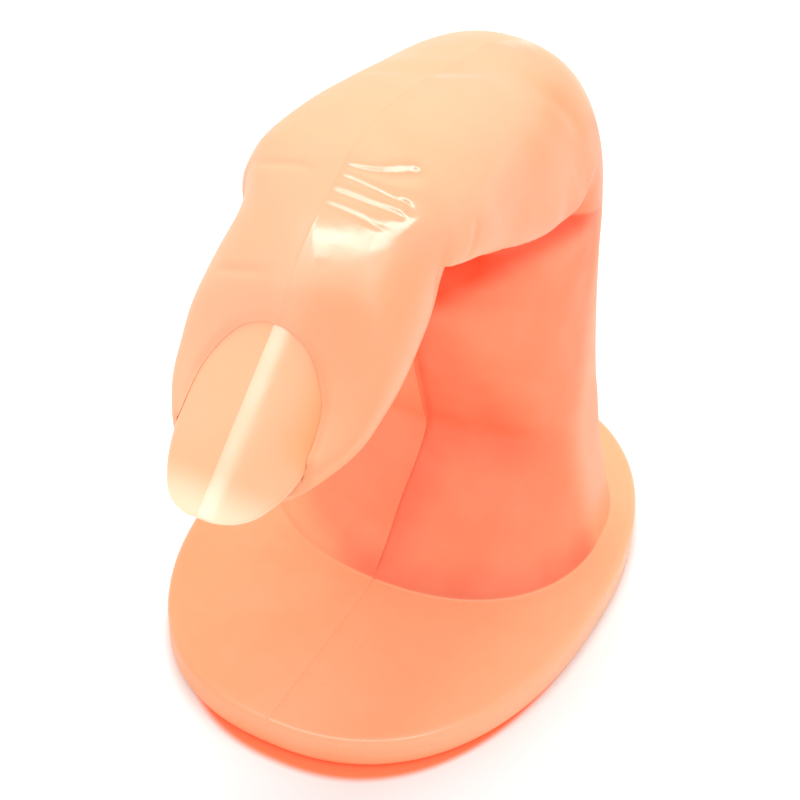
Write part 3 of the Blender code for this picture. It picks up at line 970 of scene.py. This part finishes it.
def flesh_painted_shade(tree, x, y, z, colour):
    """Painted shade: deeper colour on the right flank, the foot and column, in the column's hollow and under
    the lip, standing for the shade that falls there.
    """
    place = (x, y, z)
    # Painted shade on the right flank, deeper towards its rear, and on the knuckle's right edge
    flank = region(tree, place, FLANK)
    paint = mix_colour(tree, flank, colour, deeper(colour, *FLANK_DEPTH))
    rear = times(tree, flank, region(tree, place, REAR_FLANK))
    paint = mix_colour(tree, rear, paint, deeper(colour, *REAR_FLANK_SHADE_DEPTH))
    knuckle_edge = region(tree, place, KNUCKLE_EDGE)
    paint = mix_colour(tree, knuckle_edge, paint, deeper(colour, *KNUCKLE_EDGE_SHADE_DEPTH))
    # Painted shade over the foot and the column's lowest part, deeper towards the left
    foot = mix_colour(tree, map_range(tree, x, *FOOT_ACROSS),
                      deeper(colour, *FOOT_SHADE_LEFT), deeper(colour, *FOOT_SHADE_RIGHT))
    paint = mix_colour(tree, region(tree, place, FOOT_PAINT), paint, foot)

    # Painted shade on the column below the finger, paler towards its right edge
    side = leaning(tree, z, -COLUMN_LEAN, y)
    right = map_range(tree, x, *RIGHT_HALF)
    left_foot = map_range(tree, leaning(tree, x, LEFT_FADE_LEAN, z), *LEFT_FADE)
    column = times(tree, region(tree, place, COLUMN), map_range(tree, z, *COLUMN_FOOT),
                   map_range(tree, side, *COLUMN_SIDE))
    paint = mix_colour(tree, times(tree, column, map_range(tree, z, *NEAR_FOOT)), paint, foot)
    column_edge = times(tree, region(tree, place, COLUMN_EDGE), map_range(tree, side, *COLUMN_EDGE_SIDE),
                        map_range(tree, z, *COLUMN_EDGE_FOOT))
    paint = mix_colour(tree, column_edge, paint, deeper(colour, *COLUMN_EDGE_SHADE_DEPTH))
    column = times(tree, column, math_node(tree, 'MAXIMUM', right, left_foot))
    paint = mix_colour(tree, column, paint, deeper(colour, *COLUMN_SHADE_DEPTH))

    # Painted darker shade in the column's hollow, beside the seam and low by the foot
    hollow = times(tree, right, map_range(tree, leaning(tree, z, HOLLOW_LEAN, x), *HOLLOW_ACROSS),
                   map_range(tree, z, *HOLLOW_UP))
    beside_seam = times(tree, right, region(tree, place, BESIDE_SEAM))
    dark_shade = math_node(tree, 'MAXIMUM', hollow, beside_seam)
    dark_shade = math_node(tree, 'MAXIMUM', dark_shade, region(tree, place, COLUMN_LOW))
    paint = mix_colour(tree, times(tree, dark_shade, column), paint, deeper(colour, *DARK_SHADE_DEPTH))

    # Painted shade under the lip where the finger overhangs the column
    below = math_node(tree, 'SUBTRACT', leaning(tree, y, -LIP_SLOPE, LIP_LEVEL), z)
    reach = leaning(tree, math_node(tree, 'ABSOLUTE', x), UNDERCUT_TAPER, below)
    shade = times(tree, map_range(tree, below, *UNDERCUT_BELOW), map_range(tree, reach, *UNDERCUT_REACH),
                  map_range(tree, y, *UNDERCUT_FRONT), map_range(tree, y, *UNDERCUT_REAR))
    return mix_colour(tree, shade, paint, deeper(colour, *UNDERCUT_SHADE_DEPTH))


def nail_edge_and_shade(tree, x, y, z, colour):
    """A milky free edge that fades into the flesh colour of the nail's bed, and painted shade on the nail's
    right flank.
    """
    way = nail_frame(bpy.context.scene.finger_sizes)[1]
    along = leaning(tree, y, way.y, times(tree, z, way.z))
    # Painted shade on the nail's right flank, fading towards the free edge
    flank = times(tree, map_range(tree, x, *NAIL_FLANK), map_range(tree, along, *NAIL_FLANK_END))
    bed = mix_colour(tree, flank, colour, deeper(colour, *NAIL_FLANK_SHADE_DEPTH))
    return mix_colour(tree, map_range(tree, along, *TIP_FADE), bed, FREE_EDGE)


def half_shell(context, side, name, finish):
    """Make one half of the finger, column and foot around its CAD node."""
    sizes = context.scene.finger_sizes
    near = sizes.seam_gap / 2
    rings = body_rows(sizes, near)
    rings = np.array(rings + foot_rows(sizes, near, rings[-1]))
    rings = mould_forms(overhang(nail_folds(rings, sizes, side)), side)
    piece = skin_object(name.replace("_shell", "_skin"), rings, side)
    guides = guide_object(piece, side)
    run_tree(piece, crease_tree(), {"Guides": guides, "Strength": 1.0, "Finish": finish})
    bpy.data.objects.remove(guides, do_unlink=True)
    close_seam(piece, rings, near, side)
    combine(piece, nail_seat(sizes), 'DIFFERENCE')
    piece.data.materials.clear()
    piece.data.materials.append(finish)
    piece.data.shade_smooth()
    piece.data.set_sharp_from_angle(angle=SKIN_SHARP)
    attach(piece, "finger")
    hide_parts(name)
    return piece


class FINGER_OT_left_half(bpy.types.Operator):
    """Make the left half of the finger, column and foot."""
    bl_idname = "finger.left_half"
    bl_label = "Left Half"

    def execute(self, context):
        colour = context.scene.finger_colours.flesh
        half_shell(context, -1, "left_half_shell", moulded("flesh_matt", colour, flesh_painted_shade, MATT_SHEENS))
        return {'FINISHED'}


class FINGER_OT_right_half(bpy.types.Operator):
    """Make the right half of the finger, column and foot."""
    bl_idname = "finger.right_half"
    bl_label = "Right Half"

    def execute(self, context):
        colour = context.scene.finger_colours.flesh
        half_shell(context, 1, "right_half_shell", moulded("flesh_gloss", colour, flesh_painted_shade, GLOSSY_SHEENS))
        return {'FINISHED'}


def nail_tree():
    """Geometry Nodes that bend two flat grids into the nail tip: an arched plate with a fine crest along its
    middle, an outline that follows a curve, and rounded edges."""
    tree, given = new_tree("nail_shape", (
        ("Length", 'NodeSocketFloat'), ("Width", 'NodeSocketFloat'), ("Root", 'NodeSocketFloat'),
        ("Thickness", 'NodeSocketFloat'), ("Arch", 'NodeSocketFloat'), ("Crest", 'NodeSocketFloat'),
        ("Slope", 'NodeSocketFloat'), ("Cuticle", 'NodeSocketVector'), ("Rows", 'NodeSocketInt'),
        ("Columns", 'NodeSocketInt'), ("Finish", 'NodeSocketMaterial')))
    grid = node(tree, "GeometryNodeMeshGrid", 1.0, 1.0, given["Rows"], given["Columns"])
    x, y, _ = node(tree, "ShaderNodeSeparateXYZ", node(tree, "GeometryNodeInputPosition")).node.outputs
    run = math_node(tree, 'ADD', x, 0.5)
    across = math_node(tree, 'SINE', times(tree, y, math.pi))
    along = math_node(tree, 'SINE', times(tree, run, math.pi / 2))
    outline = tree.nodes.new("ShaderNodeFloatCurve")
    points = outline.mapping.curves[0].points
    for index, (a, w) in enumerate(NAIL_SHARES):
        spot = (math.asin(a) * 2 / math.pi, w)
        if index in (0, len(NAIL_SHARES) - 1):
            points[0 if index == 0 else -1].location = spot
        else:
            points.new(*spot)
    outline.mapping.update()
    tree.links.new(run, outline.inputs["Value"])
    wide = times(tree, outline.outputs[0], across)
    sideways = times(tree, wide, times(tree, given["Width"], 0.5))
    share = math_node(tree, 'ABSOLUTE', wide)
    bend = times(tree, share, share, math_node(tree, 'SUBTRACT', 1.0, given["Crest"]))
    fall = times(tree, math_node(tree, 'ADD', bend, times(tree, share, given["Crest"])), given["Arch"])

    def rounded(value, power):
        """One inside and a round fall to zero where the value reaches one."""
        power_of = math_node(tree, 'POWER', value, power)
        return math_node(tree, 'SQRT', math_node(tree, 'SUBTRACT', 1.0, power_of))

    from_middle = math_node(tree, 'ABSOLUTE', across)
    from_edge = math_node(tree, 'SUBTRACT', 1.0, run)
    edge = times(tree, *(
        rounded(value, power) for value, power in zip((from_middle, run, from_edge), NAIL_ROUNDING)))
    thinning = math_node(tree, 'MULTIPLY_ADD', math_node(tree, 'POWER', run, THINNING_POWER),
                         -NAIL_THINNING, 1.0)
    half_thick = times(tree, given["Thickness"], 0.5, thinning)
    swell = times(tree, edge, half_thick)
    middle = math_node(tree, 'SUBTRACT', times(tree, fall, -1.0), half_thick)
    forward = math_node(tree, 'SUBTRACT', times(tree, along, given["Length"]), given["Root"])

    def sheet(sign):
        """The upper or the lower face of the nail, by sign."""
        level = math_node(tree, 'MULTIPLY_ADD', swell, sign, middle)
        spot = node(tree, "ShaderNodeCombineXYZ", sideways, forward, level)
        return node(tree, "GeometryNodeSetPosition", grid, None, spot)

    joined = tree.nodes.new("GeometryNodeJoinGeometry")
    for face in (sheet(-1.0), node(tree, "GeometryNodeFlipFaces", sheet(1.0))):
        tree.links.new(face, joined.inputs[0])
    merged = node(tree, "GeometryNodeMergeByDistance", joined.outputs[0], None, NAIL_MERGED)
    turn = node(tree, "ShaderNodeCombineXYZ", times(tree, given["Slope"], -1.0), 0.0, math.pi)
    placed = node(tree, "GeometryNodeTransform", merged, given["Cuticle"], turn)
    return finish_tree(tree, placed, given["Finish"])


class FINGER_OT_nail_tip(bpy.types.Operator):
    """Make the nail tip in its seat."""
    bl_idname = "finger.nail_tip"
    bl_label = "Nail Tip"

    def execute(self, context):
        sizes = context.scene.finger_sizes
        finish = moulded("nail_milky", context.scene.finger_colours.nail, nail_edge_and_shade, NAIL_SHEENS)
        mesh = bpy.data.meshes.new("nail_plate")
        piece = bpy.data.objects.new("nail_plate", mesh)
        context.scene.collection.objects.link(piece)
        run_tree(piece, nail_tree(), {
            "Length": sizes.nail_length, "Width": sizes.nail_width, "Root": sizes.nail_root,
            "Thickness": sizes.nail_thickness, "Arch": sizes.nail_arch, "Crest": sizes.nail_crest,
            "Slope": sizes.nail_slope, "Cuticle": nail_frame(sizes)[0], "Rows": NAIL_ROWS,
            "Columns": NAIL_COLUMNS, "Finish": finish})
        piece.data.shade_smooth()
        piece.data.set_sharp_from_angle(angle=NAIL_SHARP)
        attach(piece, "nail")
        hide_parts("nail_tip")
        return {'FINISHED'}


# The sky's strength, and its strength in reflections
DOME = 1.0
DOME_GLOSS = 0.55
# Lamps: name, directions of their two ends as seen from the finger, distance, depth and radiance
LAMP_AIM = Vector((0, -0.01, 0.045))
KEY_LAMP = ("key_softbox", (-0.43, 0.38, 0.86), (0.05, 0.38, 0.90), 0.45, 0.2, 8.0)
NAIL_STRIP = ("nail_strip", (-0.11, -0.60, 0.79), (0.11, -0.60, 0.79), 0.5, 0.12, 9.5)
GLOSS_STRIPS = (
    ("gloss_strip_left", (-0.42, -0.365, 0.831), (0.07, -0.365, 0.928), 0.5, 0.045, 15.0),
    ("gloss_strip_left_lower", (-0.42, -0.4625, 0.781), (-0.16, -0.4625, 0.872), 0.5, 0.064, 10.0),
    ("gloss_strip_lower", (-0.16, -0.4625, 0.872), (0.07, -0.4625, 0.883), 0.5, 0.064, 6.0),
    ("gloss_strip_middle", (0.07, -0.375, 0.925), (0.42, -0.31, 0.85), 0.5, 0.035, 15.0),
    ("gloss_strip_middle_lower", (0.07, -0.44, 0.896), (0.30, -0.40, 0.866), 0.5, 0.035, 6.0),
    ("gloss_strip_right", (0.40, -0.30, 0.86), (0.68, -0.22, 0.69), 0.5, 0.075, 15.0),
)
# The floor: half its width, how far it lies below the foot, and its roughness
FLOOR_HALF = 1.5
FLOOR_DROP = 0.02 * MM
FLOOR_ROUGHNESS = 0.9
# The shadow of the see-through plastic: how far it is shifted and drawn in, its soft edge, tint and glow
SHADOW_SHIFT = (1.5 * MM, -1.3 * MM)
SHADOW_INSETS = (2.3 * MM, 0.6 * MM)
SHADOW_EDGE = (1.0, 1.09)
SHADOW_TINT = (1.0, 0.25, 0.12, 1.0)
SHADOW_GLOW = (0.30, 0.03, 0.01, 1.0)
# The camera: lens and sensor in millimetres, clip distances in metres
LENS = 99.1
SENSOR = 36
CLIP = (0.01, 10)
CAMERA_PLACE = Vector((0.06881, -0.13382, 0.15239))
CAMERA_TARGET = Vector((0, 0.00181, 0.0225))
CAMERA_ROLL = math.radians(1.5)


def floor_paint(sizes, colour):
    """A pale matt paint with the coloured shadow of the foot in it."""
    paint = bpy.data.materials.new("floor_white")
    paint.use_nodes = True
    tree = paint.node_tree
    shader = tree.nodes["Principled BSDF"]
    shader.inputs["Roughness"].default_value = FLOOR_ROUGHNESS
    shader.inputs["Specular IOR Level"].default_value = 0.0
    _, x, y, _ = object_place(tree)
    middles = (SHADOW_SHIFT[0], sizes.base_set_back + TABLE_SHIFT + SHADOW_SHIFT[1])
    halves = (sizes.base_width / 2 - SHADOW_INSETS[0], sizes.base_length / 2 - SHADOW_INSETS[1])
    powers = []
    for value, middle, half in zip((x, y), middles, halves):
        share = math_node(tree, 'DIVIDE', math_node(tree, 'SUBTRACT', value, middle), half)
        powers.append(math_node(tree, 'POWER', math_node(tree, 'ABSOLUTE', share), sizes.base_power))
    shadow = map_range(tree, math_node(tree, 'ADD', *powers), *SHADOW_EDGE, 1.0, 0.0)
    tree.links.new(mix_colour(tree, shadow, colour, SHADOW_TINT), shader.inputs["Base Color"])
    # The painted shadow glows faintly too: painted light for light let through the plastic
    shader.inputs["Emission Color"].default_value = SHADOW_GLOW
    tree.links.new(shadow, shader.inputs["Emission Strength"])
    return paint


def make_floor(scene):
    """A wide floor just under the foot."""
    work = bmesh.new()
    bmesh.ops.create_grid(work, x_segments=1, y_segments=1, size=FLOOR_HALF)
    mesh = bpy.data.meshes.new("floor")
    work.to_mesh(mesh)
    work.free()
    mesh.materials.append(floor_paint(scene.finger_sizes, scene.finger_colours.floor))
    floor = bpy.data.objects.new("floor", mesh)
    floor.location.z = -FLOOR_DROP
    scene.collection.objects.link(floor)


def make_sky(scene):
    """A soft white dome, dimmer in reflections, that the camera sees as plain white."""
    world = bpy.data.worlds.new("soft_dome")
    world.use_nodes = True
    tree = world.node_tree
    background = tree.nodes["Background"]
    background.inputs["Color"].default_value = (1, 1, 1, 1)
    path = tree.nodes.new("ShaderNodeLightPath")
    level = math_node(tree, 'MULTIPLY_ADD', path.outputs["Is Glossy Ray"], DOME_GLOSS - DOME, DOME)
    level = math_node(tree, 'MAXIMUM', level, path.outputs["Is Camera Ray"])
    tree.links.new(level, background.inputs["Strength"])
    scene.world = world


def softbox(scene, name, start, end, distance, depth, radiance):
    """A lamp whose long side runs between two directions from the finger."""
    start, end = (Vector(v).normalized() * distance for v in (start, end))
    middle = (start + end) / 2
    sideways = (end - start).normalized()
    back = (middle - sideways * middle.dot(sideways)).normalized()
    turn = Matrix((sideways, back.cross(sideways), back)).transposed().to_4x4()
    data = bpy.data.lights.new(name, 'AREA')
    data.shape = 'RECTANGLE'
    data.size = (end - start).length
    data.size_y = depth
    data.energy = radiance * math.pi * data.size * depth
    lamp = bpy.data.objects.new(name, data)
    lamp.matrix_world = Matrix.Translation(LAMP_AIM + middle) @ turn
    scene.collection.objects.link(lamp)
    return lamp


def make_lamps(scene):
    """A key light that isn't reflected, strips that are only reflected, and one strip for the nail alone."""
    softbox(scene, *KEY_LAMP).visible_glossy = False
    for strip in GLOSS_STRIPS:
        softbox(scene, *strip).visible_diffuse = False
    strip = softbox(scene, *NAIL_STRIP)
    strip.visible_diffuse = False
    lit = bpy.data.collections.new("lit_by_nail_strip")
    lit.objects.link(bpy.data.objects["nail_plate"])
    strip.light_linking.receiver_collection = lit


def make_camera(scene):
    """The camera at the photo's angle."""
    lens = bpy.data.cameras.new("camera")
    lens.lens = LENS
    lens.sensor_width = SENSOR
    lens.clip_start, lens.clip_end = CLIP
    camera = bpy.data.objects.new("camera", lens)
    turn = (CAMERA_TARGET - CAMERA_PLACE).to_track_quat('-Z', 'Y').to_matrix().to_4x4()
    camera.matrix_world = Matrix.Translation(CAMERA_PLACE) @ turn @ Matrix.Rotation(CAMERA_ROLL, 4, 'Z')
    scene.collection.objects.link(camera)
    scene.camera = camera


class FINGER_OT_stage(bpy.types.Operator):
    """Make the floor, the soft studio light and the camera."""
    bl_idname = "finger.stage"
    bl_label = "Stage"

    def execute(self, context):
        scene = context.scene
        make_floor(scene)
        make_sky(scene)
        make_lamps(scene)
        make_camera(scene)
        scene.view_settings.view_transform = 'Standard'
        return {'FINISHED'}


OPERATORS = (FINGER_OT_left_half, FINGER_OT_right_half, FINGER_OT_nail_tip, FINGER_OT_stage)


class FINGER_PT_panel(bpy.types.Panel):
    """Lists the steps that make the practice finger."""
    bl_idname = "FINGER_PT_panel"
    bl_label = "Practice Finger"
    bl_space_type = 'VIEW_3D'
    bl_region_type = 'UI'
    bl_category = "Practice Finger"

    def draw(self, context):
        for step in OPERATORS:
            self.layout.operator(step.bl_idname)


CLASSES = (FingerSizes, FingerColours) + OPERATORS + (FINGER_PT_panel,)


def register():
    """Register the classes, and give the scene its sizes and colours."""
    for item in CLASSES:
        bpy.utils.register_class(item)
    bpy.types.Scene.finger_sizes = bpy.props.PointerProperty(type=FingerSizes)
    bpy.types.Scene.finger_colours = bpy.props.PointerProperty(type=FingerColours)


def unregister():
    """Take the sizes, colours and classes away again."""
    del bpy.types.Scene.finger_colours
    del bpy.types.Scene.finger_sizes
    for item in reversed(CLASSES):
        bpy.utils.unregister_class(item)


def main():
    """Make every piece and the stage."""
    register()
    bpy.ops.finger.left_half()
    bpy.ops.finger.right_half()
    bpy.ops.finger.nail_tip()
    bpy.ops.finger.stage()


if __name__ == "__main__":
    main()
